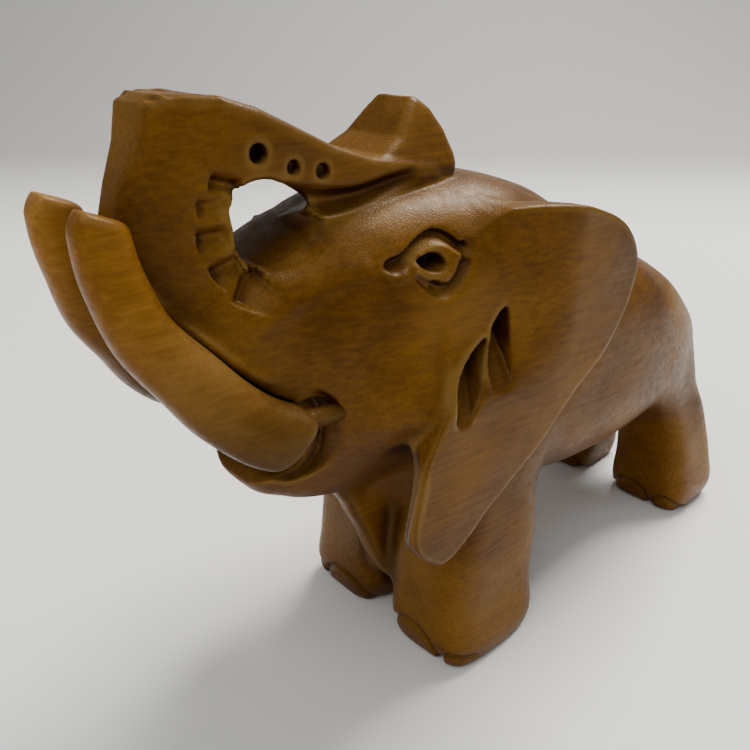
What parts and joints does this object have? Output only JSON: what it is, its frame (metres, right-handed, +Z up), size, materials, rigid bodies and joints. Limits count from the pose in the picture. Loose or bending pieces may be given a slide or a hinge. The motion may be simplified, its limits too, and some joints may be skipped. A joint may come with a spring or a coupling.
{
  "type": "carved wooden elephant figurine",
  "caption": "Standing elephant carved from one block of lacquered wood, trunk laid back over the forehead, with separately set curved tusks.",
  "frame": {"origin": "on the table, under the middle of the elephant's outline", "axes": "+Z up; the elephant faces -Y and its left side is +X"},
  "size_m": [0.0558, 0.1554, 0.1077],
  "materials": {
    "body_wood": "amber lacquered hardwood, semi-gloss",
    "tusk_wood": "amber lacquered hardwood, semi-gloss"
  },
  "bodies": {
    "root": {"carved_block": "body_wood", "tusk_left": "tusk_wood", "tusk_right": "tusk_wood"}
  },
  "joints": []
}
